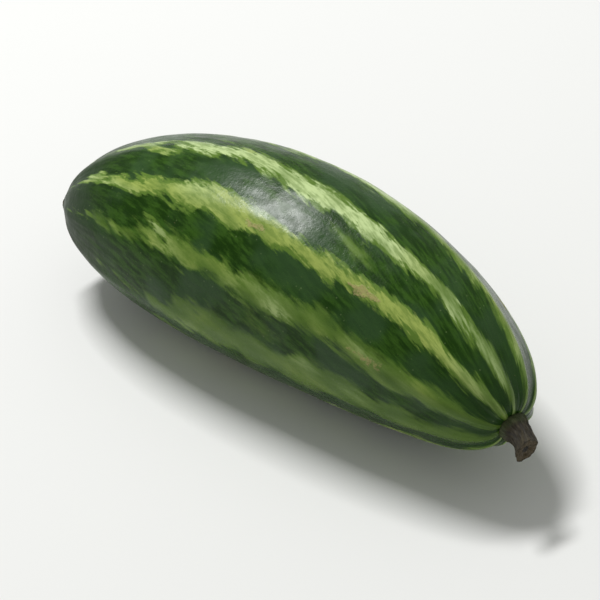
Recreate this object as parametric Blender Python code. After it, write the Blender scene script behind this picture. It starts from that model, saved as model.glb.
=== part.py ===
"""A pointed gourd as picked: one ribbed, slightly bent fruit and the dry stub of its stalk.

Metres, +Z up. The fruit lies on its belly on Z = 0, its length along X with the stalk at the +X end,
and the origin is on the resting surface under the middle of the whole part.
"""

import math

import bmesh
import bpy
from mathutils import Matrix, Vector

# The fruit's driving sizes
FRUIT_LENGTH = 0.080
FRUIT_DIAMETER = 0.0317
BLOSSOM_POWER = 1.07  # of the end curves: 1 gives an ellipse, less a blunter end, more a sharper one
STALK_POWER = 0.94
WIDEST_SHIFT = -0.0036  # how far the sections near the middle are moved towards the blossom end
BEND_RISE = 0.0068  # how far the middle of the centre line stands off the straight line between the ends
BEND_TILT = math.radians(22)  # the bend goes backwards (+Y), and this far upwards
BELLY_PRESS = 0.0006  # how much of the belly is pressed flat where the fruit rests

# The marks of the two ends
STALK_DIMPLE_DEPTH = 0.0014
STALK_DIMPLE_RADIUS = 0.0030
BLOSSOM_TIP_HEIGHT = 0.0007
BLOSSOM_TIP_RADIUS = 0.0015

# Ten low ribs, one under each pale stripe, in degrees from the top towards the front (-Y)
RIB_PLACES = (-37, 0, 31, 66, 106, 142, 178, 213, 250, 287)
RIB_SPREAD = math.radians(9)
RIB_HEIGHT_MIDDLE = 0.00016
RIB_HEIGHT_BLOSSOM = 0.00022  # more than in the middle, at the blossom tip
RIB_HEIGHT_STALK = 0.00050  # more than in the middle, at the stalk
RIB_START_RADIUS = 0.0042  # the ribs die away inside this radius, at both tips

# Slow swellings, so that the fruit isn't a turned shape: share of the radius, waves round, waves along, start
SWELLINGS = ((0.012, 2, 1, 0.6), (0.010, 3, 2, 2.1), (0.006, 1, 3, 4.4))

# The stalk's stub
STUB_LENGTH = 0.0036  # past the end of the fruit's centre line
STUB_FOOT_RADIUS = 0.0023
STUB_WAIST_RADIUS = 0.0018
STUB_END_RADIUS = 0.0021
STUB_FOOT_HEIGHT = 0.0005  # of its round rim, above the dimple
STUB_NECK_HEIGHT = 0.0012  # where the foot has drawn in to the neck, above the dimple
STUB_WAIST_HEIGHT = 0.0018
STUB_FLARE_HEIGHT = 0.0031  # from here the end rounds over
STUB_PITH_RADIUS = 0.0008
STUB_PITH_DEPTH = 0.0004
STUB_FURROWS = 5
STUB_FURROW_DEPTH = 0.10  # share of the radius
STUB_LEAN_FRONT = 0.0010  # how far its cut end leans over to the front
STUB_LEAN_DOWN = 0.0003
SEAT_GAP = 0.0003  # between the stub's foot and the dimple that it stands in

# Mesh finenesses
FRUIT_SEGMENTS = 80
FRUIT_RINGS = 44
RING_CROWDING = 0.27  # draws the rings towards both tips, where the shape changes fastest
STUB_SEGMENTS = 30

HALF_LENGTH = FRUIT_LENGTH / 2
FRUIT_RADIUS = FRUIT_DIAMETER / 2


def clear_scene():
    for old in list(bpy.data.objects):
        bpy.data.objects.remove(old, do_unlink=True)


def material(name, colour, roughness):
    """A plain Principled material, not metallic."""
    made = bpy.data.materials.new(name)
    made.use_nodes = True
    shader = made.node_tree.nodes["Principled BSDF"]
    shader.inputs["Base Color"].default_value = (*colour, 1)
    shader.inputs["Roughness"].default_value = roughness
    shader.inputs["Metallic"].default_value = 0
    return made


def centre_line(x):
    """The bent middle line at x: its point, its direction, and the two directions across it, up and front."""
    rise = BEND_RISE * (1 - (x / HALF_LENGTH) ** 2)
    slope = -2 * BEND_RISE * x / HALF_LENGTH**2
    sideways = Vector((0, math.cos(BEND_TILT), math.sin(BEND_TILT)))
    along = (Vector((1, 0, 0)) + sideways * slope).normalized()
    up = (Vector((0, 0, 1)) - along * along.z).normalized()
    return Vector((x, 0, 0)) + sideways * rise, along, up, along.cross(up)


def stalk_share(tip_angle):
    """0 at the blossom tip, where tip_angle is 0, and 1 at the stalk, where it is pi."""
    return (1 - math.cos(tip_angle)) / 2


def rib_height(tip_angle, turn, radius):
    """Height of the ribs over the skin."""
    crest = 0
    for place in RIB_PLACES:
        off_rib = math.remainder(turn - math.radians(place), math.tau)
        crest += math.exp(-((off_rib / RIB_SPREAD) ** 2))
    blossom = RIB_HEIGHT_BLOSSOM * (1 - stalk_share(tip_angle)) ** 3
    stalk = RIB_HEIGHT_STALK * stalk_share(tip_angle) ** 4
    fade = 1 - math.exp(-((radius / RIB_START_RADIUS) ** 2))
    return (crest - 0.5) * (RIB_HEIGHT_MIDDLE + blossom + stalk) * fade


def swelling(tip_angle, turn):
    """Factor on the radius, from the slow swellings."""
    return 1 + sum(
        share * math.sin(round_waves * turn + start) * math.sin(long_waves * tip_angle)
        for share, round_waves, long_waves, start in SWELLINGS
    )


def tip_marks(radius, tip_angle):
    """How far the skin moves along the centre line, out at the blossom tip and in at the stalk's dimple."""
    if tip_angle < math.pi / 2:
        return -BLOSSOM_TIP_HEIGHT * math.exp(-((radius / BLOSSOM_TIP_RADIUS) ** 2))
    return -STALK_DIMPLE_DEPTH * math.exp(-((radius / STALK_DIMPLE_RADIUS) ** 2))


def skin_point(tip_angle, turn):
    """A point of the fruit's skin before it is set down."""
    across = math.sin(tip_angle)
    x = -HALF_LENGTH * math.cos(tip_angle) + WIDEST_SHIFT * across**2
    power = BLOSSOM_POWER + (STALK_POWER - BLOSSOM_POWER) * stalk_share(tip_angle)
    plain_radius = FRUIT_RADIUS * max(across, 0) ** power
    radius = plain_radius * swelling(tip_angle, turn) + rib_height(tip_angle, turn, plain_radius)
    middle, along, up, front = centre_line(x)
    outward = up * math.cos(turn) + front * math.sin(turn)
    return middle + along * tip_marks(plain_radius, tip_angle) + outward * radius


def dimple_floor(radius):
    """Height of the skin in the stalk's dimple at a radius, from the end of the centre line."""
    across = (radius / FRUIT_RADIUS) ** (1 / STALK_POWER)
    return -HALF_LENGTH * (1 - math.sqrt(1 - across**2)) + tip_marks(radius, math.pi)


def stub_profile():
    """The stub's rings from its foot to the middle of its cut end: height, radius and furrow share."""
    sole_radii = (0, STUB_FOOT_RADIUS * 0.5, STUB_FOOT_RADIUS * 0.93)
    sole = [(dimple_floor(radius) + SEAT_GAP, radius, 0.0) for radius in sole_radii]
    seat = dimple_floor(STUB_FOOT_RADIUS)
    pith_floor = STUB_LENGTH - STUB_PITH_DEPTH
    return [
        *sole,
        (seat + SEAT_GAP + STUB_FOOT_HEIGHT, STUB_FOOT_RADIUS, 0.4),
        (seat + SEAT_GAP + STUB_NECK_HEIGHT, STUB_FOOT_RADIUS * 0.87, 0.8),
        (STUB_WAIST_HEIGHT, STUB_WAIST_RADIUS, 1.0),
        ((STUB_WAIST_HEIGHT + STUB_FLARE_HEIGHT) / 2, STUB_WAIST_RADIUS * 1.04, 1.0),
        (STUB_FLARE_HEIGHT, STUB_END_RADIUS, 1.0),
        ((STUB_FLARE_HEIGHT + STUB_LENGTH) / 2, STUB_END_RADIUS * 0.99, 0.9),
        (STUB_LENGTH, STUB_END_RADIUS * 0.80, 0.6),
        (pith_floor, STUB_PITH_RADIUS, 0.2),
        (pith_floor, 0, 0.0),
    ]


def stub_point(ring, turn):
    """A point of the stub, in its own frame: +Z along the stalk, +X up and +Y to the front."""
    height, radius, furrow = stub_profile()[ring]
    radius *= 1 - STUB_FURROW_DEPTH * furrow * (0.5 - 0.5 * math.cos(STUB_FURROWS * turn))
    leaning = max(height / STUB_LENGTH, 0) ** 2
    up = radius * math.cos(turn) - STUB_LEAN_DOWN * leaning
    front = radius * math.sin(turn) + STUB_LEAN_FRONT * leaning
    return Vector((up, front, height))


def ringed_object(name, segments, rings, place, skin):
    """A UV sphere whose rings, counted from its lower tip, are moved to place(ring, turn)."""
    form = bmesh.new()
    bmesh.ops.create_uvsphere(form, u_segments=segments, v_segments=rings, radius=1)
    for vertex in form.verts:
        ring = round(rings * math.acos(max(-1, min(1, -vertex.co.z))) / math.pi)
        vertex.co = place(ring, math.atan2(vertex.co.y, vertex.co.x))
    mesh = bpy.data.meshes.new(name)
    form.to_mesh(mesh)
    form.free()
    mesh.shade_smooth()
    mesh.materials.append(skin)
    return bpy.data.objects.new(name, mesh)


def make_fruit():
    def place(ring, turn):
        tip_angle = math.pi * ring / FRUIT_RINGS
        return skin_point(tip_angle - RING_CROWDING * math.sin(2 * tip_angle), turn)

    rind = material("green_rind", (0.045, 0.10, 0.03), 0.38)
    return ringed_object("fruit", FRUIT_SEGMENTS, FRUIT_RINGS, place, rind)


def make_stalk_stub():
    """The stub stands on the end of the centre line, square to the dimple."""
    bark = material("dry_stalk", (0.045, 0.032, 0.014), 0.85)
    stub = ringed_object("stalk_stub", STUB_SEGMENTS, len(stub_profile()) - 1, stub_point, bark)
    seat, along, up, front = centre_line(HALF_LENGTH)
    stub.location = seat
    stub.rotation_euler = Matrix((up, front, along)).transposed().to_euler()
    return stub


def press_belly(fruit):
    """Flattens the lowest part of the skin, and returns the height of that flat."""
    rest_height = min(vertex.co.z for vertex in fruit.data.vertices) + BELLY_PRESS
    for vertex in fruit.data.vertices:
        vertex.co.z = max(vertex.co.z, rest_height)
    return rest_height


def set_down(pieces, rest_height, collection):
    """Carries the pieces on an empty, with the flat on Z = 0 and the middle of their box over the origin."""
    bpy.context.view_layer.update()
    corners = [piece.matrix_world @ vertex.co for piece in pieces for vertex in piece.data.vertices]
    middle = [(min(axis) + max(axis)) / 2 for axis in zip(*corners)]
    carrier = bpy.data.objects.new("gourd_frame", None)
    carrier.empty_display_size = FRUIT_RADIUS
    carrier.location = (-middle[0], -middle[1], -rest_height)
    collection.objects.link(carrier)
    for piece in pieces:
        piece.parent = carrier


def main():
    clear_scene()
    collection = bpy.data.collections.new("pointed_gourd")
    bpy.context.scene.collection.children.link(collection)
    fruit = make_fruit()
    stub = make_stalk_stub()
    for piece in (fruit, stub):
        collection.objects.link(piece)
    set_down((fruit, stub), press_belly(fruit), collection)


main()
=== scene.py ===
"""The looks of a pointed gourd: its striped waxy rind, its dry stalk stub, and a pale studio round it.

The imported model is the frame: every length here is in metres, in its axes, and the two fine pieces lie
on its two solids. The rind is unrolled for its markings: a tip angle runs from 0 at the blossom tip to
pi at the stalk, a share of the length from 0 to 1, and a turn from the top (+Z) towards the front (-Y).
"""

import math
from collections import namedtuple

import bpy
import numpy as np
from bpy.props import FloatProperty, FloatVectorProperty, IntProperty, PointerProperty
from bpy.types import Operator, Panel, PropertyGroup
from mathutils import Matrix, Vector, noise


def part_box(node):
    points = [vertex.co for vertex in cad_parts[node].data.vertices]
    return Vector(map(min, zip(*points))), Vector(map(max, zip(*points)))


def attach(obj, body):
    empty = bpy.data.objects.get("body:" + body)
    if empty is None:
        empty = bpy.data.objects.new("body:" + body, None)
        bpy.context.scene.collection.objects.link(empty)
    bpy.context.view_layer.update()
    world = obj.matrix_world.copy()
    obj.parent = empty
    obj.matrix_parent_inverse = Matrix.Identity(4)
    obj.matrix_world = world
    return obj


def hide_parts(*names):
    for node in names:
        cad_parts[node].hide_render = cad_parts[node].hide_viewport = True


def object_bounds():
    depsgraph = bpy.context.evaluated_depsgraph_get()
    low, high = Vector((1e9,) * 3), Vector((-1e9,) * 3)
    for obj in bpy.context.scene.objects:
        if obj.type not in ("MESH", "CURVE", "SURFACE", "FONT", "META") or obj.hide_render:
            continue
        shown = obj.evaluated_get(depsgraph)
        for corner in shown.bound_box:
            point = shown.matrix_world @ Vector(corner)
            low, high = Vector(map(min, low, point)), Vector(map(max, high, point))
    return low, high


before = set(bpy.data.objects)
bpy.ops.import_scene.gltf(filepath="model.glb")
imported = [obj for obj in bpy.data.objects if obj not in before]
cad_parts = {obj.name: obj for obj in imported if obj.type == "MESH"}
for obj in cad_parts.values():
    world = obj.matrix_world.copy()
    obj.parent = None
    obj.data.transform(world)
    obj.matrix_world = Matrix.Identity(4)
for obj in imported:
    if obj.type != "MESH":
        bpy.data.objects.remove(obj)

bl_info = {
    "name": "Pointed Gourd Looks",
    "version": (1, 0, 0),
    "blender": (4, 5, 0),
    "location": "3D View > Sidebar > Gourd",
    "description": "Dresses the pointed gourd with its striped rind and dry stalk stub, in a pale studio",
    "category": "Object",
}

CAD_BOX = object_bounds()
FRUIT_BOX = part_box("fruit")
MM = 0.001

# The fruit's driving sizes, as in the model's own source
HALF_LENGTH = 0.040
FRUIT_RADIUS = 0.01585
BLOSSOM_POWER = 1.07
STALK_POWER = 0.94
WIDEST_SHIFT = -0.0036
BEND_RISE = 0.0068
BEND_TILT = math.radians(22)
STALK_DIMPLE_DEPTH = 0.0014
STALK_DIMPLE_RADIUS = 0.0030
BLOSSOM_TIP_HEIGHT = 0.0007
BLOSSOM_TIP_RADIUS = 0.0015
RIB_SPREAD = math.radians(9)
RIB_HEIGHT_MIDDLE = 0.00016
RIB_HEIGHT_BLOSSOM = 0.00022
RIB_HEIGHT_STALK = 0.00050
RIB_START_RADIUS = 0.0042
SWELLINGS = ((0.012, 2, 1, 0.6), (0.010, 3, 2, 2.1), (0.006, 1, 3, 4.4))

# The stub's driving sizes, as in the model's own source
STUB_LENGTH = 0.0036
STUB_FOOT_RADIUS = 0.0023
STUB_WAIST_RADIUS = 0.0018
STUB_END_RADIUS = 0.0021
STUB_LEAN_FRONT = 0.0010
STUB_LEAN_DOWN = 0.0003
STUB_FURROWS = 5
SEAT_GAP = 0.0003

# The pale stripes, one on each rib: place and half width in degrees, tone from 0 (as dark as the ground)
# to 1 (cream), warmth from 0 (bluish) to 1 (yellow), and the share of the length where the stripe starts
Stripe = namedtuple("Stripe", "place half_width tone warmth start")
STRIPES = (
    Stripe(-37, 4.2, 0.64, 0.3, 0.34),
    Stripe(0, 4.2, 1.00, 0.1, 0.12),
    Stripe(31, 4.4, 0.95, 0.8, 0.04),
    Stripe(66, 4.4, 0.52, 0.7, 0.14),
    Stripe(106, 9.5, 0.38, 0.5, 0.26),
    Stripe(142, 4.8, 0.75, 0.6, 0.16),
    Stripe(178, 4.2, 0.90, 0.4, 0.22),
    Stripe(213, 5.2, 0.60, 0.8, 0.14),
    Stripe(250, 4.0, 0.95, 0.3, 0.24),
    Stripe(287, 5.2, 0.70, 0.6, 0.18),
)

# How four of them run, by their place: share of the length, degrees aside of the rib, and width and tone
# as shares of the stripe's own
Bend = namedtuple("Bend", "share aside width tone")
COURSES = {
    0: (
        Bend(0.16, -12, 0.9, 0.7), Bend(0.25, -7, 1.2, 0.85), Bend(0.34, -7, 1.3, 0.9),
        Bend(0.42, -7, 1.3, 0.95), Bend(0.50, -4, 1.4, 1.0), Bend(0.58, -1, 1.7, 1.2),
        Bend(0.70, 3, 1.1, 1.0), Bend(0.80, 0, 1.1, 0.7), Bend(0.90, -1, 1.4, 0.65),
        Bend(0.97, -4, 1.4, 0.6),
    ),
    31: (
        Bend(0.05, -10, 0.8, 0.8), Bend(0.12, -8, 1.1, 0.95), Bend(0.20, -4, 1.0, 0.95),
        Bend(0.34, -4, 1.3, 1.0), Bend(0.41, -3, 2.0, 0.95), Bend(0.47, 0, 1.2, 0.9),
        Bend(0.60, 1, 1.15, 1.1), Bend(0.74, 1, 1.25, 1.25), Bend(0.85, 0, 1.3, 1.1),
        Bend(0.95, -1, 1.5, 0.8),
    ),
    66: (
        Bend(0.16, -9, 0.6, 0.8), Bend(0.25, -8, 0.9, 0.9), Bend(0.34, -7, 1.2, 1.1),
        Bend(0.42, -7, 1.0, 1.1), Bend(0.48, -3, 0.8, 1.0), Bend(0.57, -3, 1.3, 1.0),
        Bend(0.70, -4, 1.1, 0.9), Bend(0.80, -1, 1.5, 0.9), Bend(0.95, 2, 1.8, 0.75),
    ),
    106: (
        Bend(0.25, -10, 0.8, 1.0), Bend(0.40, -7, 1.2, 1.1), Bend(0.52, -9, 0.8, 0.85),
        Bend(0.64, -5, 1.2, 1.15), Bend(0.78, -6, 0.9, 0.95), Bend(0.92, -2, 1.1, 1.0),
    ),
}
STRAIGHT_COURSE = (Bend(0.5, 0, 1.0, 1.0),)

# Pale islands beside the stripes: share of the length, turn in degrees, length and width, and tone
Island = namedtuple("Island", "share turn length width tone")
ISLANDS = (
    Island(0.31, 53, 0.0034, 0.0011, 0.60),
    Island(0.36, 56, 0.0024, 0.0010, 0.55),
    Island(0.24, -1, 0.0030, 0.0013, 0.90),
    Island(0.39, -12, 0.0036, 0.0012, 0.85),
    Island(0.66, 15, 0.0020, 0.0008, 0.40),
    Island(0.58, 82, 0.0030, 0.0010, 0.35),
    Island(0.35, 125, 0.0032, 0.0012, 0.50),
    Island(0.61, 160, 0.0026, 0.0011, 0.70),
    Island(0.27, 196, 0.0030, 0.0012, 0.65),
    Island(0.48, 231, 0.0034, 0.0012, 0.70),
    Island(0.70, 268, 0.0024, 0.0010, 0.80),
    Island(0.40, 304, 0.0030, 0.0012, 0.60),
)
ISLAND_WARMTH = 0.5

# Corky scars: share of the length, turn in degrees, length and width, and strength
Scar = namedtuple("Scar", "share turn length width strength")
SCARS = (
    Scar(0.74, 33, 0.0050, 0.0012, 1.0),
    Scar(0.50, 31, 0.0026, 0.0009, 0.7),
    Scar(0.79, 65, 0.0060, 0.0012, 0.45),
    Scar(0.42, 150, 0.0050, 0.0014, 0.9),
    Scar(0.66, 236, 0.0045, 0.0012, 0.8),
    Scar(0.30, 262, 0.0028, 0.0009, 0.7),
    Scar(0.84, 296, 0.0036, 0.0010, 0.7),
)

# Layers of noise: how long the waves are, how strong, and a number that keeps each layer apart from others
Layer = namedtuple("Layer", "wave strength apart")

# How uneven the stripes are. Each of them has its own noise, a step apart from that of the one before
STRIPE_WANDER = Layer(9.0 * MM, 3.0, 0.0)  # degrees aside
STRIPE_WANDER_STEP = 7.3
STRIPE_SWELL = Layer(4.0 * MM, 0.6, 50.0)  # share of the width
STRIPE_SWELL_STEP = 3.7
STRIPE_FLECKS = (Layer(1.7 * MM, 0.9, 0.0), Layer(0.8 * MM, 0.9, 20.0))  # millimetres in and out
STRIPE_PATCHES = Layer(2.6 * MM, 0.6, 40.0)  # share of the tone
WARM_PATCHES = Layer(6.0 * MM, 0.7, 60.0)
WIDTH_BEFORE_START = -0.5  # share of the width: less than nothing, which leaves only a few flecks
GROWTH_BEFORE = 0.12  # a stripe starts to grow at this share of the length before its start
GROWTH_AFTER = 0.20  # and has its full width at this share after it
FRAY_AT_START = 2.0  # how much stronger its flecks are at its start
FRAY_LENGTH = 0.25  # the share of the length after which they have their own strength
BARE_TIP = 0.09  # the share of the length within which all stripes draw back from the blossom tip
BARE_TIP_RETREAT = 1.4  # by as many millimetres at most
DIM_STALK = (0.86, 0.98)  # from the first to the second share, all stripes get dimmer towards the stalk
DIM_SHARE = 0.25  # by this share of their tone

# How far each kind of noise is drawn out along the fruit
FLECK_STRETCH = 3.2
PATCH_STRETCH = 2.0
SCAR_STRETCH = 2.0
STRAND_STRETCH = 3.6
VEIN_STRETCH = 6.0
WRINKLE_STRETCH = 3.0

# The rind's relief, under the model's skin
STRIPE_EDGE = 0.6  # half the width of the step at a stripe's edge, in millimetres
LUMPS = (Layer(9.0 * MM, 1.0, 5.0), Layer(3.2 * MM, 0.35, 15.0), Layer(1.3 * MM, 0.12, 25.0))
VEINS = Layer(1.0 * MM, 0.3, 35.0)
SCAR_FRAY = (Layer(0.9 * MM, 1.2, 80.0), Layer(0.45 * MM, 0.8, 90.0))
SCAR_SPAN = 1.3  # how far a scar reaches, in halves of its length and width
SCAR_EDGE = 0.9  # how much of that is its soft edge
SCAR_DEPTH = 0.09 * MM
SCAR_DENT = 0.7  # the part of that depth that is the same all over it
SCAR_PITS = Layer(0.7 * MM, 1.6, 45.0)
WRINKLES = 27  # round the stalk
WRINKLE_DEPTH = 0.06 * MM
WRINKLE_RADIUS = 4.4 * MM  # of the ring where they are deepest
WRINKLE_SPREAD = 1.8 * MM
WRINKLE_WANDER = Layer(2.5 * MM, 0.12, 55.0)
DRY_TIP_RADIUS = 1.3 * MM
DRY_TIP_DEPTH = 0.40 * MM
DRY_TIP_DENT = 0.3  # the part of that depth that is the same all over it
DRY_TIP_PITS = Layer(0.55 * MM, 1.0, 65.0)
LEAST_DEPTH = 0.01 * MM  # no point of the rind lies nearer to the model's skin

# The stub's bark and its cut end
BARK_STRETCH = 4.0
BARK_RIDGES = (Layer(0.50 * MM, 1.0, 3.0), Layer(0.20 * MM, 0.7, 13.0))
FURROW_WANDER = Layer(1.5 * MM, 1.5, 23.0)
CUT_EDGE = (2.15 * MM, 1.88 * MM)  # the rim of the cut starts and ends this far from its middle
CUT_PITS = (Layer(0.35 * MM, 0.25 * MM, 33.0), Layer(0.9 * MM, 0.15 * MM, 43.0))
CUT_CALM_RADIUS = 1.0 * MM  # inside it, the cut gets smoother towards its middle
CUT_DEPTH = 0.16 * MM

# How finely the skin is sampled to space its rings evenly, and to set it down
RING_SAMPLES = 4000
SET_DOWN_SAMPLES = 181

# The finest noise of the materials, and the depth of their bumps
FINE_NOISE = {"detail": 6.0, "roughness": 0.64}
SOFT_NOISE = {"detail": 2.0, "roughness": 0.5}
RIND_GRAIN_DEPTH = 0.00003
BARK_GRAIN_DEPTH = 0.00012


# The fruit's shape


def centre_line(x):
    """The bent middle line at each x: its points, its directions, and the two directions across it."""
    sideways = np.array([0, math.cos(BEND_TILT), math.sin(BEND_TILT)])
    rise = BEND_RISE * (1 - (x / HALF_LENGTH) ** 2)
    slope = -2 * BEND_RISE * x / HALF_LENGTH**2
    along = np.array([1.0, 0, 0]) + sideways * slope[..., None]
    along /= np.linalg.norm(along, axis=-1, keepdims=True)
    up = np.array([0, 0, 1.0]) - along * along[..., 2:]
    up /= np.linalg.norm(up, axis=-1, keepdims=True)
    middle = x[..., None] * np.array([1.0, 0, 0]) + sideways * rise[..., None]
    return middle, along, up, np.cross(along, up)


def stalk_share(tip_angle):
    """The share of the length at each tip angle."""
    return (1 - np.cos(tip_angle)) / 2


def off_place(turn, degrees):
    """The turn from a place round the fruit, between -pi and pi."""
    return (turn - math.radians(degrees) + math.pi) % math.tau - math.pi


def even_radius(tip_angle):
    """The radius without ribs and swellings."""
    power = BLOSSOM_POWER + (STALK_POWER - BLOSSOM_POWER) * stalk_share(tip_angle)
    return FRUIT_RADIUS * np.clip(np.sin(tip_angle), 0, None) ** power


def rib_height(tip_angle, turn, radius):
    crest = sum(np.exp(-((off_place(turn, stripe.place) / RIB_SPREAD) ** 2)) for stripe in STRIPES)
    share = stalk_share(tip_angle)
    height = RIB_HEIGHT_MIDDLE + RIB_HEIGHT_BLOSSOM * (1 - share) ** 3 + RIB_HEIGHT_STALK * share**4
    return (crest - 0.5) * height * (1 - np.exp(-((radius / RIB_START_RADIUS) ** 2)))


def swelling(tip_angle, turn):
    """Factor on the radius, from the slow swellings."""
    waves = (
        share * np.sin(round_waves * turn + start) * np.sin(long_waves * tip_angle)
        for share, round_waves, long_waves, start in SWELLINGS
    )
    return 1 + sum(waves)


def tip_marks(radius, tip_angle):
    """How far the skin moves along the centre line: out at the blossom tip, in at the stalk's dimple."""
    blossom = BLOSSOM_TIP_HEIGHT * np.exp(-((radius / BLOSSOM_TIP_RADIUS) ** 2))
    stalk = STALK_DIMPLE_DEPTH * np.exp(-((radius / STALK_DIMPLE_RADIUS) ** 2))
    return np.where(tip_angle < math.pi / 2, -blossom, -stalk)


def smooth_skin(tip_angle, turn):
    """The model's skin at each tip angle and turn, before it is set down."""
    x = -HALF_LENGTH * np.cos(tip_angle) + WIDEST_SHIFT * np.sin(tip_angle) ** 2
    even = even_radius(tip_angle)
    radius = even * swelling(tip_angle, turn) + rib_height(tip_angle, turn, even)
    middle, along, up, front = centre_line(x)
    outward = up * np.cos(turn)[..., None] + front * np.sin(turn)[..., None]
    return middle + along * tip_marks(even, tip_angle)[..., None] + outward * radius[..., None]


def even_rings(count):
    """Tip angles of rings that lie at equal distances along the skin, and those distances."""
    tip_angle = np.linspace(0, math.pi, RING_SAMPLES)
    steps = np.hypot(np.diff(-HALF_LENGTH * np.cos(tip_angle)), np.diff(even_radius(tip_angle)))
    distance = np.concatenate(([0], np.cumsum(steps)))
    stations = np.linspace(0, distance[-1], count)
    return np.interp(stations, distance, tip_angle), stations


def set_down_offset():
    """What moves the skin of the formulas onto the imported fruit: to its box's middle, and to its top."""
    tips = np.linspace(0, math.pi, SET_DOWN_SAMPLES)
    turns = np.linspace(0, math.tau, SET_DOWN_SAMPLES)
    skin = smooth_skin(*np.meshgrid(tips, turns, indexing="ij")).reshape(-1, 3)
    low, high = skin.min(axis=0), skin.max(axis=0)
    fruit_low, fruit_high = np.array(FRUIT_BOX[0]), np.array(FRUIT_BOX[1])
    offset = (fruit_low + fruit_high - low - high) / 2
    offset[2] = fruit_high[2] - high[2]
    return offset


def outward_normals(points):
    """Outward directions on a grid of points, whose rows are rings and whose columns go round."""
    down_length = np.gradient(points, axis=0)
    round_girth = np.roll(points, -1, axis=1) - np.roll(points, 1, axis=1)
    normals = np.cross(round_girth, down_length)
    normals[0] = normals[1].mean(axis=0)
    normals[-1] = normals[-2].mean(axis=0)
    normals /= np.linalg.norm(normals, axis=-1, keepdims=True)
    middle = len(points) // 2
    outward = points[middle] - points[middle].mean(axis=0)
    return normals if (normals[middle] * outward).sum() > 0 else -normals


# Noise and meshes


def smooth_step(value, low, high):
    """Goes smoothly from 0 to 1 while the value goes from low to high."""
    share = np.clip((value - low) / (high - low), 0, 1)
    return share * share * (3 - 2 * share)


def noise_at(points, wave, apart):
    """Noise of mostly -0.5 to 0.5 at each point, with waves of about the given length."""
    flat = (points.reshape(-1, 3) / wave + apart).tolist()
    return np.array([noise.noise(point) for point in flat]).reshape(points.shape[:-1])


def layered(points, *layers, step=0.0):
    """The sum of layers of noise at each point."""
    return sum(layer.strength * noise_at(points, layer.wave, layer.apart + step) for layer in layers)


def unrolled(distance, turn, stretch, slant=0.0):
    """Points for noise drawn out along the fruit. Slant is how far they turn aside as they go."""
    slanted = turn - slant * distance / FRUIT_RADIUS
    across = (FRUIT_RADIUS * np.cos(slanted), FRUIT_RADIUS * np.sin(slanted))
    return np.stack((distance / stretch, *across), axis=-1)


def closed_grid(name, points, attributes):
    """A closed mesh from rings of points, with values at them. The first and last ring become one point."""
    rings, segments = points.shape[:2]

    def by_vertex(values):
        inner = values[1:-1].reshape((-1,) + values.shape[2:])
        return np.concatenate((values[:1, 0], inner, values[-1:, 0]))

    corners = by_vertex(points)
    here = np.arange(segments)
    after = (here + 1) % segments
    faces = []
    for ring in range(rings - 3):
        start = 1 + ring * segments
        above = start + segments
        band = (start + here, start + after, above + after, above + here)
        faces += np.stack(band, axis=1).tolist()
    last_ring = 1 + (rings - 3) * segments
    last_tip = len(corners) - 1
    for a, b in zip(here.tolist(), after.tolist()):
        faces += [[0, 1 + b, 1 + a], [last_tip, last_ring + a, last_ring + b]]
    mesh = bpy.data.meshes.new(name)
    mesh.from_pydata(corners.tolist(), [], faces)
    for label, values in attributes.items():
        is_vector = values.ndim == 3
        made = mesh.attributes.new(label, "FLOAT_VECTOR" if is_vector else "FLOAT", "POINT")
        made.data.foreach_set("vector" if is_vector else "value", by_vertex(values).ravel())
    mesh.shade_smooth()
    turn_outwards(mesh, points[rings // 2].mean(axis=0))
    return mesh


def turn_outwards(mesh, middle):
    """Flips the mesh if its faces look inwards."""
    face = mesh.polygons[len(mesh.polygons) // 2]
    if face.normal.dot(face.center - Vector(middle)) < 0:
        mesh.flip_normals()


def add_piece(name, mesh, skin, node):
    """Puts a fine piece in the place of a solid of the model."""
    mesh.materials.append(skin)
    piece = bpy.data.objects.new(name, mesh)
    bpy.context.scene.collection.objects.link(piece)
    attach(piece, "root")
    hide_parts(node)


# Shader nodes


def opaque(colour):
    return (*colour, 1.0)


def new_material(name, **constants):
    """A material, its node tree and its Principled shader, whose constant sockets are set on it."""
    made = bpy.data.materials.new(name)
    made.use_nodes = True
    shader = made.node_tree.nodes["Principled BSDF"]
    for label, value in constants.items():
        shader.inputs[label.replace("_", " ")].default_value = value
    return made, made.node_tree, shader


def add_node(tree, kind, inputs=None, **settings):
    """A shader node with its settings. Each input is a value, or a socket that it is linked to."""
    made = tree.nodes.new(kind)
    made.location = (len(tree.nodes) * 180, 0)
    for label, value in settings.items():
        setattr(made, label, value)
    for label, value in (inputs or {}).items():
        if isinstance(value, bpy.types.NodeSocket):
            tree.links.new(value, made.inputs[label])
        else:
            made.inputs[label].default_value = value
    return made


def mixed(tree, share, first, second):
    """The colour between two colours, at a share from the first to the second."""
    colour_sockets = {0: share, 6: first, 7: second}
    return add_node(tree, "ShaderNodeMix", colour_sockets, data_type="RGBA").outputs[2]


def ramped(tree, value, low, high, start=0.0, end=1.0):
    """A value that goes smoothly from start to end while the given one goes from low to high."""
    inputs = {"Value": value, "From Min": low, "From Max": high, "To Min": start, "To Max": end}
    return add_node(tree, "ShaderNodeMapRange", inputs, interpolation_type="SMOOTHSTEP").outputs["Result"]


def reckoned(tree, operation, first, *others):
    """A sum, a product or the like. More than two values are taken one after the other."""
    for other in others:
        first = add_node(tree, "ShaderNodeMath", {0: first, 1: other}, operation=operation).outputs[0]
    return first


def added(tree, *values):
    return reckoned(tree, "ADD", *values)


def less(tree, first, second):
    return reckoned(tree, "SUBTRACT", first, second)


def times(tree, *values):
    return reckoned(tree, "MULTIPLY", *values)


def read_attribute(tree, label, output="Fac"):
    return add_node(tree, "ShaderNodeAttribute", attribute_name=label).outputs[output]


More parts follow.
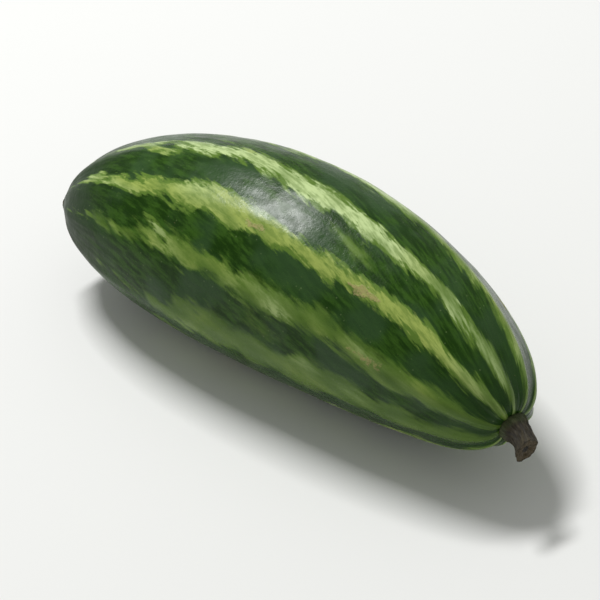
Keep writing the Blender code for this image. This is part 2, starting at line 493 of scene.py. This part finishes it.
def place_in_mm(tree):
    """The place on the piece, in millimetres."""
    place = add_node(tree, "ShaderNodeTexCoord").outputs["Object"]
    inputs = {0: place, 1: (1 / MM,) * 3}
    return add_node(tree, "ShaderNodeVectorMath", inputs, operation="MULTIPLY").outputs[0]


def noise_value(tree, vector, scale, detail=3.0, roughness=0.55):
    inputs = {"Vector": vector, "Scale": scale, "Detail": detail, "Roughness": roughness}
    return add_node(tree, "ShaderNodeTexNoise", inputs).outputs["Fac"]


def set_bump(tree, shader, height, depth):
    """Gives the shader a bump, as deep as it is where the height goes from 0 to 1."""
    bump = add_node(tree, "ShaderNodeBump", {"Strength": 1.0, "Distance": depth, "Height": height})
    tree.links.new(bump.outputs["Normal"], shader.inputs["Normal"])


# Node groups that the materials share


def new_group(name, inputs, output, output_type):
    """A node group with its sockets. Inputs are name to default, or to None for a vector."""
    kinds = {float: "NodeSocketFloat", tuple: "NodeSocketColor", type(None): "NodeSocketVector"}
    tree = bpy.data.node_groups.new(name, "ShaderNodeTree")
    for label, value in inputs.items():
        socket = tree.interface.new_socket(label, in_out="INPUT", socket_type=kinds[type(value)])
        if value is not None:
            socket.default_value = value
    tree.interface.new_socket(output, in_out="OUTPUT", socket_type=output_type)
    given = tree.nodes.new("NodeGroupInput").outputs
    result = tree.nodes.new("NodeGroupOutput").inputs[output]
    return tree, given, result


def make_ragged_edge_group(name):
    """A mask that is 1 inside an edge, whose line is frayed by noise. Distance is positive inside."""
    inputs = {"Distance": 0.0, "Vector": None, "Scale": 1.0, "Raggedness": 0.5, "Softness": 0.2}
    tree, given, result = new_group(name, inputs, "Mask", "NodeSocketFloat")
    fray = less(tree, noise_value(tree, given["Vector"], given["Scale"], **FINE_NOISE), 0.5)
    inside = added(tree, times(tree, fray, given["Raggedness"]), given["Distance"])
    outer = times(tree, given["Softness"], -1.0)
    tree.links.new(ramped(tree, inside, outer, given["Softness"]), result)
    return tree


def make_streaks_group(name):
    """Two colours in streaks or blotches, with as much of the second as the balance says."""
    inputs = {
        "First": (0.0, 0.0, 0.0, 1.0),
        "Second": (1.0, 1.0, 1.0, 1.0),
        "Vector": None,
        "Scale": 1.0,
        "Balance": 0.5,
        "Contrast": 0.1,
    }
    tree, given, result = new_group(name, inputs, "Color", "NodeSocketColor")
    value = noise_value(tree, given["Vector"], given["Scale"], **FINE_NOISE)
    low = less(tree, 1.0, given["Contrast"])
    high = added(tree, 1.0, given["Contrast"])
    share = ramped(tree, added(tree, value, given["Balance"]), low, high)
    tree.links.new(mixed(tree, share, given["First"], given["Second"]), result)
    return tree


def make_pin_dots_group(name):
    """Small scattered dots, such as the pores of a rind or of bark."""
    inputs = {"Vector": None, "Scale": 1.0, "Size": 0.2, "Share": 0.5}
    tree, given, result = new_group(name, inputs, "Mask", "NodeSocketFloat")
    cells = add_node(tree, "ShaderNodeTexVoronoi", {"Vector": given["Vector"], "Scale": given["Scale"]})
    inner = times(tree, given["Size"], 0.5)
    dot = ramped(tree, cells.outputs["Distance"], inner, given["Size"], start=1.0, end=0.0)
    luck = add_node(tree, "ShaderNodeSeparateColor", {0: cells.outputs["Color"]}).outputs[0]
    kept = reckoned(tree, "LESS_THAN", luck, given["Share"])
    tree.links.new(times(tree, dot, kept), result)
    return tree


def make_grain_group(name):
    """The height of a fine uneven grain: soft bumps, with lower and finer ones on them."""
    inputs = {"Vector": None, "Scale": 1.0, "Fineness": 3.0}
    tree, given, result = new_group(name, inputs, "Height", "NodeSocketFloat")
    soft = noise_value(tree, given["Vector"], given["Scale"], **SOFT_NOISE)
    fine_scale = times(tree, given["Scale"], given["Fineness"])
    fine = noise_value(tree, given["Vector"], fine_scale, **SOFT_NOISE)
    tree.links.new(added(tree, soft, times(tree, fine, 0.35)), result)
    return tree


GROUP_MAKERS = {
    "ragged_edge": make_ragged_edge_group,
    "streaks": make_streaks_group,
    "pin_dots": make_pin_dots_group,
    "fine_grain": make_grain_group,
}


def use_group(tree, name, inputs):
    """A node group placed in a material, with its own values. It is built when it is first used."""
    group = bpy.data.node_groups.get(name) or GROUP_MAKERS[name](name)
    return add_node(tree, "ShaderNodeGroup", inputs, node_tree=group).outputs[0]


# Kinds of settings


def colour_property(name, description, default):
    return FloatVectorProperty(
        name=name, description=description, default=default, size=3, subtype="COLOR", min=0, max=1
    )


def length_property(name, description, default):
    return FloatProperty(
        name=name, description=description, default=default, min=0, precision=5,
        subtype="DISTANCE", unit="LENGTH",
    )


def angle_property(name, description, degrees):
    return FloatProperty(
        name=name, description=description, default=math.radians(degrees), subtype="ANGLE", unit="ROTATION"
    )


# The fruit


class RindSettings(PropertyGroup):
    """Sizes and colours of the fruit's rind."""

    rings: IntProperty(name="Rings", description="Rings of points along the fruit", default=270, min=40)
    segments: IntProperty(name="Segments", description="Points round each ring", default=320, min=40)
    skin_sink: length_property("Sink", "How far the fine skin lies under the model's skin", 0.00007)
    stripe_relief: length_property("Stripe relief", "How far the pale stripes stand out", 0.00005)
    lump_relief: length_property("Lump relief", "Height of the uneven lumps", 0.00010)
    fleck_slant: FloatProperty(
        name="Fleck slant", description="How far the flecks turn aside as they go", default=0.32
    )
    deep_green: colour_property("Deep green", "Darkest streaks of the ground", (0.009, 0.035, 0.001))
    leaf_green: colour_property("Leaf green", "Lighter streaks of the ground", (0.033, 0.088, 0.008))
    bloom_green: colour_property("Bloom green", "Bluish patches of the ground", (0.027, 0.066, 0.020))
    tip_green: colour_property("Tip green", "Greyish ground at the blossom tip", (0.010, 0.026, 0.005))
    halo_green: colour_property("Halo green", "Dim stripes, edges of bright ones", (0.100, 0.180, 0.026))
    pale_green: colour_property("Pale green", "Bluish pale stripes", (0.500, 0.620, 0.290))
    straw_green: colour_property("Straw green", "Yellowish pale stripes", (0.310, 0.390, 0.090))
    cork: colour_property("Cork", "Corky scars", (0.360, 0.300, 0.130))
    dry_tip: colour_property("Dry tip", "Dried remains at the blossom tip", (0.030, 0.021, 0.010))


def stripe_course(stripe, share):
    """How far the stripe runs aside, in degrees, and its width and tone as shares of its own."""
    shares, *courses = zip(*COURSES.get(stripe.place, STRAIGHT_COURSE))
    return (np.interp(share, shares, course) for course in courses)


def station_at(share, tip_angle, distance):
    """Distance along the skin to a share of the length."""
    return np.interp(math.acos(1 - 2 * share), tip_angle[:, 0], distance[:, 0])


def stripe_fields(distance, tip_angle, turn, slant):
    """For each point: millimetres inside the nearest stripe's edge, and that stripe's tone and warmth."""
    share = stalk_share(tip_angle)
    reach = np.full(turn.shape, -np.inf)
    tone, warmth, fray = (np.zeros(turn.shape) for _ in range(3))
    ring_points = unrolled(distance, turn * 0, 1.0)
    for number, stripe in enumerate(STRIPES):
        aside, width, own_tone = stripe_course(stripe, share)
        aside = aside + layered(ring_points, STRIPE_WANDER, step=number * STRIPE_WANDER_STEP)
        growth = smooth_step(share, stripe.start - GROWTH_BEFORE, stripe.start + GROWTH_AFTER)
        width = width * (WIDTH_BEFORE_START + (1 - WIDTH_BEFORE_START) * growth)
        width = width * (1 + layered(ring_points, STRIPE_SWELL, step=number * STRIPE_SWELL_STEP))
        off_middle = np.abs(off_place(turn, stripe.place) - np.radians(aside))
        inside = (math.radians(stripe.half_width) * width - off_middle) * FRUIT_RADIUS / MM
        calm = smooth_step(share, stripe.start, stripe.start + FRAY_LENGTH)
        nearest = inside > reach
        reach = np.where(nearest, inside, reach)
        tone = np.where(nearest, stripe.tone * own_tone, tone)
        warmth = np.where(nearest, stripe.warmth, warmth)
        fray = np.where(nearest, FRAY_AT_START + (1 - FRAY_AT_START) * calm, fray)
    for island in ISLANDS:
        lengthways = distance - station_at(island.share, tip_angle, distance)
        sideways = off_place(turn, island.turn) * FRUIT_RADIUS - slant * lengthways
        off_middle = np.hypot(lengthways / island.length, sideways / island.width)
        inside = (0.5 - off_middle) * island.width / MM
        nearest = inside > reach
        reach = np.where(nearest, inside, reach)
        tone = np.where(nearest, island.tone, tone)
        warmth = np.where(nearest, ISLAND_WARMTH, warmth)
    reach = reach - BARE_TIP_RETREAT * (1 - smooth_step(share, 0, BARE_TIP))
    reach = reach + fray * layered(unrolled(distance, turn, FLECK_STRETCH, slant), *STRIPE_FLECKS)
    patches = unrolled(distance, turn, PATCH_STRETCH, slant)
    tone = tone * (1 + layered(patches, STRIPE_PATCHES)) * (1 - DIM_SHARE * smooth_step(share, *DIM_STALK))
    return reach, tone, warmth + layered(patches, WARM_PATCHES)


def scar_field(distance, tip_angle, turn):
    """How strong the scars are at each point: 1 in the middle of a strong one."""
    field = np.zeros(turn.shape)
    fray = layered(unrolled(distance, turn, SCAR_STRETCH), *SCAR_FRAY)
    radius = even_radius(tip_angle)
    for scar in SCARS:
        lengthways = (distance - station_at(scar.share, tip_angle, distance)) / (scar.length / 2)
        sideways = off_place(turn, scar.turn) * radius / (scar.width / 2)
        inside = SCAR_SPAN - np.hypot(lengthways, sideways) + fray
        field = np.maximum(field, scar.strength * smooth_step(inside, 0, SCAR_EDGE))
    return field


def rind_relief(points, distance, tip_angle, turn, reach, scars, settings):
    """Height of each point of the rind over the model's skin. It is always below 0."""
    radius = even_radius(tip_angle)
    stripes = settings.stripe_relief * (smooth_step(reach, -STRIPE_EDGE, STRIPE_EDGE) - 1)
    veins = layered(unrolled(distance, turn, VEIN_STRETCH), VEINS)
    lumps = settings.lump_relief * (layered(points, *LUMPS) + veins)
    scar_dents = SCAR_DEPTH * scars * (SCAR_DENT + layered(points, SCAR_PITS))
    ring = np.exp(-(((radius - WRINKLE_RADIUS) / WRINKLE_SPREAD) ** 2))
    wander = layered(unrolled(distance, turn, WRINKLE_STRETCH), WRINKLE_WANDER)
    wrinkles = WRINKLE_DEPTH * ring * (np.cos(WRINKLES * (turn + wander)) - 1) / 2
    wrinkles = np.where(tip_angle > math.pi / 2, wrinkles, 0)
    tip = np.where(tip_angle < math.pi / 2, np.exp(-((radius / DRY_TIP_RADIUS) ** 2)), 0)
    tip_dents = DRY_TIP_DEPTH * tip * np.abs(DRY_TIP_DENT + layered(points, DRY_TIP_PITS))
    relief = stripes + lumps - scar_dents + wrinkles - tip_dents
    return np.minimum(relief - settings.skin_sink, -LEAST_DEPTH)


def rind_mesh(settings):
    tips, stations = even_rings(settings.rings)
    turns = np.linspace(0, math.tau, settings.segments, endpoint=False)
    tip_angle, turn = np.meshgrid(tips, turns, indexing="ij")
    distance = np.repeat(stations[:, None], settings.segments, axis=1)
    skin = smooth_skin(tip_angle, turn)
    reach, tone, warmth = stripe_fields(distance, tip_angle, turn, settings.fleck_slant)
    scars = scar_field(distance, tip_angle, turn)
    relief = rind_relief(skin, distance, tip_angle, turn, reach, scars, settings)
    points = skin + outward_normals(skin) * relief[..., None] + set_down_offset()
    points[..., 2] = np.maximum(points[..., 2], FRUIT_BOX[0][2])
    tip_gap = np.where(tip_angle < math.pi / 2, even_radius(tip_angle), FRUIT_RADIUS)
    attributes = {
        "stripe_reach": reach,
        "stripe_tone": tone,
        "stripe_warmth": warmth,
        "scar": scars,
        "length_share": stalk_share(tip_angle),
        "tip_gap": tip_gap / MM,
        "unrolled": unrolled(distance, turn, STRAND_STRETCH, settings.fleck_slant) / MM,
    }
    return closed_grid("rind", points, attributes)


def ground_colour(tree, settings, per_mm, strands, share):
    """The dark ground: streaks, bluish patches of bloom, and another green near each end."""
    colour = use_group(tree, "streaks", {
        "First": opaque(settings.deep_green), "Second": opaque(settings.leaf_green),
        "Vector": strands, "Scale": 1.1, "Balance": 0.48, "Contrast": 0.12,
    })
    bloom = ramped(tree, noise_value(tree, per_mm, scale=0.12, detail=2.0), 0.40, 0.60, end=0.80)
    near_tip = ramped(tree, share, 0.02, 0.22, start=0.85, end=0.0)
    near_stalk = ramped(tree, share, 0.80, 0.99, end=0.5)
    colour = mixed(tree, bloom, colour, opaque(settings.bloom_green))
    colour = mixed(tree, near_tip, colour, opaque(settings.tip_green))
    return mixed(tree, near_stalk, colour, opaque(settings.deep_green))


def striped_colour(tree, settings, strands, ground):
    """The ground with its stripes: each a dim halo with a brighter core inside, both with ragged edges."""
    reach = read_attribute(tree, "stripe_reach")
    tone = read_attribute(tree, "stripe_tone")
    softness = ramped(tree, tone, 0.3, 0.8, start=1.0, end=0.36)
    halo = use_group(tree, "ragged_edge", {
        "Distance": added(tree, reach, 0.40), "Vector": strands,
        "Scale": 1.7, "Raggedness": 3.4, "Softness": softness,
    })
    core = use_group(tree, "ragged_edge", {
        "Distance": less(tree, reach, 0.30), "Vector": strands,
        "Scale": 1.9, "Raggedness": 4.4, "Softness": softness,
    })
    streaks = noise_value(tree, strands, scale=1.6, detail=5.0, roughness=0.62)
    halo = times(tree, halo, ramped(tree, tone, 0.0, 0.6, start=0.35))
    core = times(tree, core, ramped(tree, tone, 0.25, 1.0), ramped(tree, streaks, 0.38, 0.60, start=0.45))
    warmth = ramped(tree, read_attribute(tree, "stripe_warmth"), 0.1, 0.9)
    pale = mixed(tree, warmth, opaque(settings.pale_green), opaque(settings.straw_green))
    colour = mixed(tree, halo, ground, opaque(settings.halo_green))
    return mixed(tree, core, colour, pale)


def rind_material(settings):
    made, tree, shader = new_material(
        "green_rind", Metallic=0.0, IOR=1.38, Specular_IOR_Level=0.20, Coat_Roughness=0.20
    )
    per_mm = place_in_mm(tree)
    strands = read_attribute(tree, "unrolled", "Vector")
    share = read_attribute(tree, "length_share")
    scar = use_group(tree, "ragged_edge", {
        "Distance": less(tree, read_attribute(tree, "scar"), 0.45), "Vector": per_mm,
        "Scale": 1.8, "Raggedness": 1.6, "Softness": 0.2,
    })
    dry = use_group(tree, "ragged_edge", {
        "Distance": less(tree, 1.0, read_attribute(tree, "tip_gap")), "Vector": per_mm,
        "Scale": 1.6, "Raggedness": 2.2, "Softness": 0.18,
    })

    ground = ground_colour(tree, settings, per_mm, strands, share)
    colour = striped_colour(tree, settings, strands, ground)
    dots = use_group(tree, "pin_dots", {"Vector": per_mm, "Scale": 1.3, "Size": 0.20, "Share": 0.16})
    colour = mixed(tree, times(tree, dots, 0.10), colour, opaque(settings.pale_green))
    crust = noise_value(tree, per_mm, scale=3.2, detail=4.0, roughness=0.6)
    crust = times(tree, scar, ramped(tree, crust, 0.38, 0.62, start=0.40, end=0.88))
    colour = mixed(tree, crust, colour, opaque(settings.cork))
    remains = use_group(tree, "streaks", {
        "First": opaque(settings.dry_tip), "Second": opaque(settings.cork),
        "Vector": per_mm, "Scale": 3.0, "Balance": 0.33, "Contrast": 0.18,
    })
    tree.links.new(mixed(tree, dry, colour, remains), shader.inputs["Base Color"])

    uneven = ramped(tree, noise_value(tree, per_mm, scale=0.7), 0.35, 0.65, start=0.23, end=0.32)
    dull_tip = ramped(tree, share, 0.04, 0.22, start=0.14, end=0.0)
    roughness = added(tree, uneven, dull_tip, times(tree, scar, 0.3), times(tree, dry, 0.35))
    tree.links.new(roughness, shader.inputs["Roughness"])
    wax = ramped(tree, noise_value(tree, per_mm, scale=0.25, detail=2.0), 0.40, 0.60, end=0.10)
    sound = less(tree, 1.0, reckoned(tree, "MAXIMUM", scar, dry))
    wax = times(tree, wax, sound, ramped(tree, share, 0.10, 0.35))
    tree.links.new(wax, shader.inputs["Coat Weight"])
    grain = use_group(tree, "fine_grain", {"Vector": per_mm, "Scale": 1.8, "Fineness": 2.2})
    crumbs = use_group(tree, "fine_grain", {"Vector": per_mm, "Scale": 3.4, "Fineness": 2.0})
    crumbly = added(tree, times(tree, scar, 2.0), times(tree, dry, 5.0))
    set_bump(tree, shader, added(tree, grain, times(tree, crumbs, crumbly)), RIND_GRAIN_DEPTH)
    return made


class GOURD_OT_make_fruit(Operator):
    """Makes the fine striped fruit in the place of the model's solid"""

    bl_idname = "pointed_gourd.make_fruit"
    bl_label = "Make Fruit"

    def execute(self, context):
        settings = context.scene.gourd_rind
        skin = rind_material(settings)
        add_piece("gourd_fruit", rind_mesh(settings), skin, "fruit")
        return {"FINISHED"}


# The stalk's stub


class StubSettings(PropertyGroup):
    """Sizes and colours of the stalk's stub."""

    rings: IntProperty(name="Rings", description="Rings of points along the stub", default=130, min=20)
    segments: IntProperty(name="Segments", description="Points round each ring", default=160, min=20)
    foot_sink: length_property("Foot sink", "How far the foot goes into the dimple", 0.00050)
    furrow_depth: FloatProperty(
        name="Furrow depth", description="Share of the radius", default=0.14,
        min=0, max=1, subtype="FACTOR",
    )
    bark_relief: length_property("Bark relief", "Height of the ridges of the bark", 0.00014)
    dark_bark: colour_property("Dark bark", "Furrows of the bark", (0.010, 0.007, 0.003))
    # Partly the dry bark's own brown and partly painted shade: darker than the bark, to stand in for the
    # shade round the stub
    brown_bark_and_shade: colour_property("Brown bark", "Ridges of the bark", (0.045, 0.035, 0.017))
    green_foot: colour_property("Green foot", "The stub's foot in the dimple", (0.060, 0.085, 0.024))
    # Partly the cut's own dry colour and partly painted shade: darker than the cut, to stand in for the
    # shade round the stub
    dry_cut_and_shade: colour_property("Dry cut", "The cut end", (0.085, 0.062, 0.032))


def dimple_floor(radius):
    """Height of the skin in the stalk's dimple at a radius, from the end of the centre line."""
    across = (radius / FRUIT_RADIUS) ** (1 / STALK_POWER)
    return -HALF_LENGTH * (1 - math.sqrt(1 - across**2)) + float(tip_marks(radius, math.pi))


def stub_profile(foot_sink):
    """Rings from the stub's foot to the middle of its cut end: height, radius and furrow share."""
    sole = dimple_floor(0) + SEAT_GAP - foot_sink
    half_sole = dimple_floor(STUB_FOOT_RADIUS * 0.5) + SEAT_GAP - foot_sink
    seat = dimple_floor(STUB_FOOT_RADIUS) + SEAT_GAP
    return [
        (sole, 0.0, 0.0),
        (half_sole, STUB_FOOT_RADIUS * 0.5, 0.0),
        (seat - foot_sink, STUB_FOOT_RADIUS * 0.96, 0.2),
        (seat + 0.2 * MM, STUB_FOOT_RADIUS, 0.4),
        (seat + 0.7 * MM, STUB_FOOT_RADIUS * 0.94, 0.6),
        (seat + 1.3 * MM, STUB_FOOT_RADIUS * 0.84, 0.9),
        (STUB_LENGTH * 0.55, STUB_WAIST_RADIUS, 1.0),
        (STUB_LENGTH * 0.72, STUB_WAIST_RADIUS * 1.05, 1.0),
        (STUB_LENGTH * 0.85, STUB_END_RADIUS * 0.98, 1.0),
        (STUB_LENGTH * 0.93, STUB_END_RADIUS, 0.9),
        (STUB_LENGTH * 0.97, STUB_END_RADIUS * 0.90, 0.7),
        (STUB_LENGTH * 0.97, STUB_END_RADIUS * 0.74, 0.5),
        (STUB_LENGTH * 0.93, STUB_END_RADIUS * 0.40, 0.2),
        (STUB_LENGTH * 0.90, 0.0, 0.0),
    ]


def drawn_through(rows, count):
    """A smooth curve through the rows of a table, as a table of more rows."""
    rows = np.array(rows)
    ends = np.vstack((2 * rows[0] - rows[1], rows, 2 * rows[-1] - rows[-2]))
    place = np.linspace(0, len(rows) - 1, count)
    step = np.minimum(place.astype(int), len(rows) - 2)
    t = (place - step)[:, None]
    before, start, end, after = (ends[step + shift] for shift in range(4))
    bend = 2 * before - 5 * start + 4 * end - after + (3 * (start - end) + after - before) * t
    return start + 0.5 * t * (end - before + t * bend)


def stub_place(side_up, side_front, along_stalk):
    """Points of the stub's own frame, on the end of the centre line and square to the dimple."""
    seat, along, up, front = (value[0] for value in centre_line(np.array([HALF_LENGTH])))
    across = up * side_up[..., None] + front * side_front[..., None]
    return seat + set_down_offset() + across + along * along_stalk[..., None]


def stub_mesh(settings):
    rows = drawn_through(stub_profile(settings.foot_sink), settings.rings)
    steps = np.hypot(np.diff(rows[:, 0]), np.diff(rows[:, 1]))
    columns = (*rows.T, np.concatenate(([0], np.cumsum(steps))))
    turns = np.linspace(0, math.tau, settings.segments, endpoint=False)
    turn = np.repeat(turns[None], settings.rings, axis=0)
    height, radius, furrow, distance = (
        np.repeat(column[:, None], settings.segments, axis=1) for column in columns
    )
    radius = np.clip(radius, 0, None)
    bark_round = (STUB_WAIST_RADIUS * np.cos(turn), STUB_WAIST_RADIUS * np.sin(turn))
    bark_points = np.stack((distance / BARK_STRETCH, *bark_round), axis=-1)
    ridge = layered(bark_points, *BARK_RIDGES)
    furrows = 0.5 - 0.5 * np.cos(STUB_FURROWS * turn + layered(bark_points, FURROW_WANDER))
    on_cut = smooth_step(distance - distance[-1, 0], -CUT_EDGE[0], -CUT_EDGE[1])
    bark = settings.bark_relief * (ridge - 0.5) * (1 - on_cut) * smooth_step(radius, 0, STUB_WAIST_RADIUS)
    full = radius * (1 - settings.furrow_depth * furrow * furrows) + bark
    leaning = np.clip(height / STUB_LENGTH, 0, None) ** 2
    side_up = full * np.cos(turn) - STUB_LEAN_DOWN * leaning
    side_front = full * np.sin(turn) + STUB_LEAN_FRONT * leaning
    pits = layered(np.stack((side_up, side_front, height), axis=-1), *CUT_PITS)
    cut_relief = pits * smooth_step(radius, 0, CUT_CALM_RADIUS) - CUT_DEPTH
    points = stub_place(side_up, side_front, height + on_cut * cut_relief)
    attributes = {
        "foot_height": (height - dimple_floor(STUB_FOOT_RADIUS)) / MM,
        "on_cut": on_cut,
        "bark_ridge": ridge,
        "cut_radius": radius / MM,
        "bark_strands": bark_points / MM,
    }
    return closed_grid("stub", points, attributes)


def bark_colour(tree, settings, strands):
    """Brown bark with dark furrows, still green where it grows out of the fruit."""
    dark_bark = opaque(settings.dark_bark)
    # The brown of the ridges is partly painted shade, darker than the dry bark itself
    bark = use_group(tree, "streaks", {
        "First": dark_bark, "Second": opaque(settings.brown_bark_and_shade),
        "Vector": strands, "Scale": 3.2, "Balance": 0.52, "Contrast": 0.15,
    })
    furrow = ramped(tree, read_attribute(tree, "bark_ridge"), -0.5, 0.1, start=0.7, end=0.0)
    bark = mixed(tree, furrow, bark, dark_bark)
    green = use_group(tree, "ragged_edge", {
        "Distance": less(tree, 0.9, read_attribute(tree, "foot_height")), "Vector": strands,
        "Scale": 1.5, "Raggedness": 1.6, "Softness": 0.6,
    })
    return mixed(tree, times(tree, green, 0.6), bark, opaque(settings.green_foot))


def cut_colour(tree, settings, per_mm):
    """The dry cut end, with a dark middle painted as the shade of a hollow pith, and dark vessels round it.
    """
    dark_bark = opaque(settings.dark_bark)
    # Both colours of the cut are partly painted shade, darker than the dry cut itself
    cut = use_group(tree, "streaks", {
        "First": opaque(settings.brown_bark_and_shade), "Second": opaque(settings.dry_cut_and_shade),
        "Vector": per_mm, "Scale": 1.8, "Balance": 0.55, "Contrast": 0.14,
    })
    # Painted shade: the middle of the cut is darkened to stand for a hollow pith
    pith = ramped(tree, read_attribute(tree, "cut_radius"), 0.35, 0.75, start=1.0, end=0.0)
    vessels = use_group(tree, "pin_dots", {"Vector": per_mm, "Scale": 2.6, "Size": 0.3, "Share": 0.6})
    cut = mixed(tree, pith, cut, dark_bark)
    return mixed(tree, times(tree, vessels, 0.7), cut, dark_bark)


def stub_material(settings):
    made, tree, shader = new_material("dry_stalk", Metallic=0.0, IOR=1.45)
    strands = read_attribute(tree, "bark_strands", "Vector")
    bark = bark_colour(tree, settings, strands)
    cut = cut_colour(tree, settings, place_in_mm(tree))
    tree.links.new(mixed(tree, read_attribute(tree, "on_cut"), bark, cut), shader.inputs["Base Color"])
    roughness = ramped(tree, noise_value(tree, strands, scale=2.0), 0.35, 0.65, start=0.62, end=0.85)
    tree.links.new(roughness, shader.inputs["Roughness"])
    grain = use_group(tree, "fine_grain", {"Vector": strands, "Scale": 4.0, "Fineness": 2.4})
    set_bump(tree, shader, grain, BARK_GRAIN_DEPTH)
    return made


class GOURD_OT_make_stalk_stub(Operator):
    """Makes the fine stub of the stalk in the place of the model's solid"""

    bl_idname = "pointed_gourd.make_stalk_stub"
    bl_label = "Make Stalk Stub"

    def execute(self, context):
        settings = context.scene.gourd_stub
        skin = stub_material(settings)
        add_piece("gourd_stalk_stub", stub_mesh(settings), skin, "stalk_stub")
        return {"FINISHED"}


# The studio


class StageSettings(PropertyGroup):
    """The floor, the light and the camera."""

    floor_size: length_property("Floor size", "Side of the floor", 6.0)
    floor_colour: colour_property("Floor colour", "Pale floor", (0.80, 0.80, 0.79))
    sky_colour: colour_property("Sky colour", "Light from all round", (0.98, 1.0, 0.96))
    sky_strength: FloatProperty(
        name="Sky strength", description="Strength of the light from all round", default=0.38, min=0
    )
    key_power: FloatProperty(
        name="Key power", description="Power of the main light in watts", default=5.0, min=0, unit="POWER"
    )
    key_width: length_property("Key width", "Width of the main light", 0.28)
    key_height: length_property("Key height", "Height of the main light", 0.08)
    key_distance: length_property("Key distance", "From the fruit to the main light", 0.75)
    key_azimuth: angle_property("Key azimuth", "From the front, positive towards the stalk", -105)
    key_elevation: angle_property("Key elevation", "Of the main light over the floor", 63)
    camera_azimuth: angle_property("Camera azimuth", "From the front, positive towards the stalk", 37)
    camera_elevation: angle_property("Camera elevation", "Of the camera over the floor", 42)
    camera_distance: length_property("Camera distance", "From the fruit to the camera", 0.62)
    lens: FloatProperty(name="Lens", description="Focal length in millimetres", default=262.0, min=1)
    aim: FloatVectorProperty(
        name="Aim",
        description="How far the camera aims to the right of the middle, and above it",
        default=(-0.0028, -0.0030), size=2, precision=5, subtype="TRANSLATION", unit="LENGTH",
    )


def direction(azimuth, elevation):
    """Out from the fruit. Azimuth 0 is in front of it (-Y), and 90 degrees is past its stalk (+X)."""
    flat = math.cos(elevation)
    return Vector((math.sin(azimuth) * flat, -math.cos(azimuth) * flat, math.sin(elevation)))


def looking_at(name, data, target, outward, distance):
    """A light or camera that stands outward of the target, at a distance, and points at it."""
    made = bpy.data.objects.new(name, data)
    made.location = target + outward * distance
    made.rotation_mode = "QUATERNION"
    made.rotation_quaternion = outward.to_track_quat("Z", "Y")
    bpy.context.scene.collection.objects.link(made)
    return made


def make_floor(settings):
    half = settings.floor_size / 2
    corners = [(-half, -half, 0), (half, -half, 0), (half, half, 0), (-half, half, 0)]
    mesh = bpy.data.meshes.new("floor")
    mesh.from_pydata(corners, [], [(0, 1, 2, 3)])
    skin, _, shader = new_material("pale_floor", Roughness=0.75, Specular_IOR_Level=0.3)
    shader.inputs["Base Color"].default_value = opaque(settings.floor_colour)
    mesh.materials.append(skin)
    floor = bpy.data.objects.new("floor", mesh)
    bpy.context.scene.collection.objects.link(floor)


def make_sky(settings):
    world = bpy.data.worlds.new("studio")
    world.use_nodes = True
    background = world.node_tree.nodes["Background"]
    background.inputs["Color"].default_value = opaque(settings.sky_colour)
    background.inputs["Strength"].default_value = settings.sky_strength
    bpy.context.scene.world = world


def make_key_light(settings, target):
    light = bpy.data.lights.new("key", "AREA")
    light.shape = "RECTANGLE"
    light.size = settings.key_width
    light.size_y = settings.key_height
    light.energy = settings.key_power
    outward = direction(settings.key_azimuth, settings.key_elevation)
    looking_at("key", light, target, outward, settings.key_distance)


def make_camera(settings, target):
    lens = bpy.data.cameras.new("camera")
    lens.lens = settings.lens
    lens.clip_start = 0.01
    outward = direction(settings.camera_azimuth, settings.camera_elevation)
    right = Vector((0, 0, 1)).cross(outward).normalized()
    aim = target + right * settings.aim[0] + outward.cross(right) * settings.aim[1]
    camera = looking_at("camera", lens, aim, outward, settings.camera_distance)
    bpy.context.scene.camera = camera


class GOURD_OT_make_stage(Operator):
    """Makes the pale floor, the soft light and the camera"""

    bl_idname = "pointed_gourd.make_stage"
    bl_label = "Make Stage"

    def execute(self, context):
        settings = context.scene.gourd_stage
        target = (CAD_BOX[0] + CAD_BOX[1]) / 2
        make_floor(settings)
        make_sky(settings)
        make_key_light(settings, target)
        make_camera(settings, target)
        context.scene.view_settings.view_transform = "Standard"
        return {"FINISHED"}


class GOURD_PT_looks(Panel):
    """The gourd's pieces and its stage, with their settings"""

    bl_idname = "GOURD_PT_looks"
    bl_label = "Pointed Gourd"
    bl_space_type = "VIEW_3D"
    bl_region_type = "UI"
    bl_category = "Gourd"

    def draw(self, context):
        for operator, holder, settings in PARTS:
            box = self.layout.box()
            box.operator(operator.bl_idname)
            for label in settings.__annotations__:
                box.prop(getattr(context.scene, holder), label)


# Each operator, with where the scene holds its settings
PARTS = (
    (GOURD_OT_make_stage, "gourd_stage", StageSettings),
    (GOURD_OT_make_fruit, "gourd_rind", RindSettings),
    (GOURD_OT_make_stalk_stub, "gourd_stub", StubSettings),
)


def register():
    for operator, holder, settings in PARTS:
        bpy.utils.register_class(settings)
        setattr(bpy.types.Scene, holder, PointerProperty(type=settings))
        bpy.utils.register_class(operator)
    bpy.utils.register_class(GOURD_PT_looks)


def unregister():
    bpy.utils.unregister_class(GOURD_PT_looks)
    for operator, holder, settings in reversed(PARTS):
        bpy.utils.unregister_class(operator)
        delattr(bpy.types.Scene, holder)
        bpy.utils.unregister_class(settings)


def main():
    register()
    bpy.ops.pointed_gourd.make_stage()
    bpy.ops.pointed_gourd.make_fruit()
    bpy.ops.pointed_gourd.make_stalk_stub()


if __name__ == "__main__":
    main()
